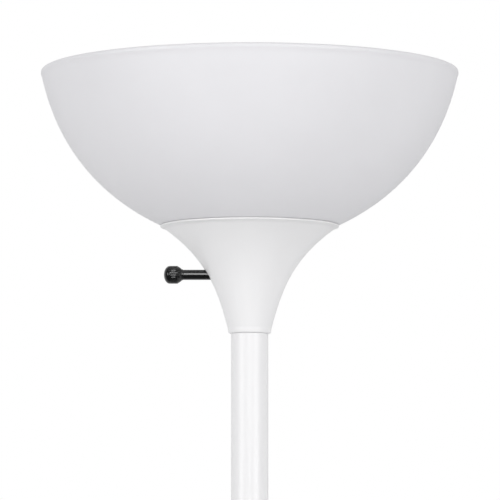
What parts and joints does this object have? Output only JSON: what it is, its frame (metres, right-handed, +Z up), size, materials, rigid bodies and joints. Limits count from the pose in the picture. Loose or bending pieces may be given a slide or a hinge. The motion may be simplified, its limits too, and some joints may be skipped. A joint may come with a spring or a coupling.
{
  "type": "torchiere floor lamp",
  "caption": "Uplighter floor lamp: open bowl shade on a flared neck with a side turn switch, slim pole in screwed sections, weighted round base.",
  "frame": {"origin": "on the floor under the middle of the base", "axes": "+Z up along the pole, the switch knob points to -X, the cord gland faces +Y"},
  "size_m": [0.2822, 0.2822, 1.8],
  "materials": {
    "white_metal": "smooth white powder coat, satin",
    "white_shade": "opaque white, fine satin",
    "black_plastic": "moulded black, soft gloss",
    "phenolic": "dark brown-black moulding",
    "zinc_steel": "zinc plated",
    "brass": "plain stamped brass",
    "cast_iron": "rough casting, dark primer",
    "foam_pad": "closed-cell foam, black",
    "rubber": "matt black rubber",
    "bulb_diffuser": "frosted opal dome",
    "white_moulding": "moulded white, low gloss",
    "cap_bead": "dark glassy bead",
    "nickel": "nickel plated",
    "aluminium": "plain sheet",
    "wire_black": "extruded insulation",
    "wire_white": "extruded insulation",
    "lead_white": "extruded sheath"
  },
  "bodies": {
    "lamp": {"base_cover": "white_metal", "base_nut": "zinc_steel", "base_pad": "foam_pad", "base_rod": "zinc_steel", "base_washer": "zinc_steel", "base_weight": "cast_iron", "centre_contact": "brass", "cord_gland": "rubber", "foot_bush": "zinc_steel", "head_bush": "zinc_steel", "holder_cap": "phenolic", "inner_lead": "lead_white", "joint_1_plug": "zinc_steel", "joint_1_socket": "zinc_steel", "joint_2_plug": "zinc_steel", "joint_2_socket": "zinc_steel", "joint_3_plug": "zinc_steel", "joint_3_socket": "zinc_steel", "neck_cup": "white_metal", "neck_nipple": "zinc_steel", "neck_nut": "zinc_steel", "neck_washer": "zinc_steel", "pole_collar": "white_metal", "pole_tube_1": "white_metal", "pole_tube_2": "white_metal", "pole_tube_3": "white_metal", "pole_tube_4": "white_metal", "screw_shell": "brass", "shade_bowl": "white_shade", "shade_ring": "phenolic", "socket_insulator": "phenolic", "socket_skirt": "phenolic", "switch_body": "phenolic", "switch_contact": "brass", "terminal_screw_live": "brass", "terminal_screw_neutral": "brass", "wire_live": "wire_black", "wire_neutral": "wire_white"},
    "switch": {"switch_knob": "black_plastic", "switch_spindle": "zinc_steel", "switch_rotor": "white_moulding"},
    "bulb": {"bulb_tip": "nickel", "bulb_cap_insulator": "cap_bead", "bulb_cap": "nickel", "bulb_body": "white_moulding", "bulb_board": "aluminium", "bulb_diffuser": "bulb_diffuser"}
  },
  "joints": [
    {"name": "switch_turn", "type": "hinge", "parent": "lamp", "child": "switch", "pos_m": [-0.05, 0, 1.662], "axis": [-1, 0, 0], "continuous": true},
    {"name": "bulb_lift", "type": "slide", "parent": "lamp", "child": "bulb", "axis": [0, 0, 1], "range_m": [0, 0.15]}
  ]
}
